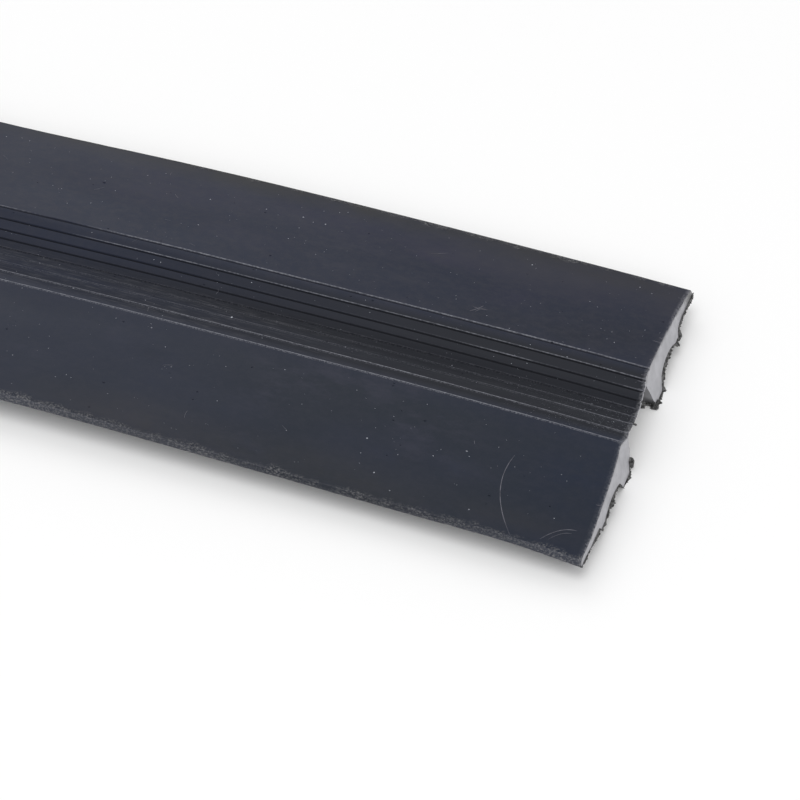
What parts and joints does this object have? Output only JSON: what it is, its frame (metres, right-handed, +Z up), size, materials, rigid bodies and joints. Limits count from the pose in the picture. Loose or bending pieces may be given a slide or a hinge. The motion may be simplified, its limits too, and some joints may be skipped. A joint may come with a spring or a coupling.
{
  "type": "floor cord cover",
  "caption": "Low extruded rubber strip with sloping wings, a ribbed crown and an open cord channel underneath, sawn off by hand at one end.",
  "frame": {"origin": "on the floor, under the middle of the strip", "axes": "+X along the strip's length towards the leaning saw-cut end, +Y across the strip, +Z up, away from the floor"},
  "size_m": [1, 0.083, 0.0088],
  "materials": {
    "strip_rubber": "satin charcoal rubber, dusty and lightly scratched, with a paler matt saw-cut end face"
  },
  "bodies": {
    "root": {"cover_strip": "strip_rubber"}
  },
  "joints": []
}
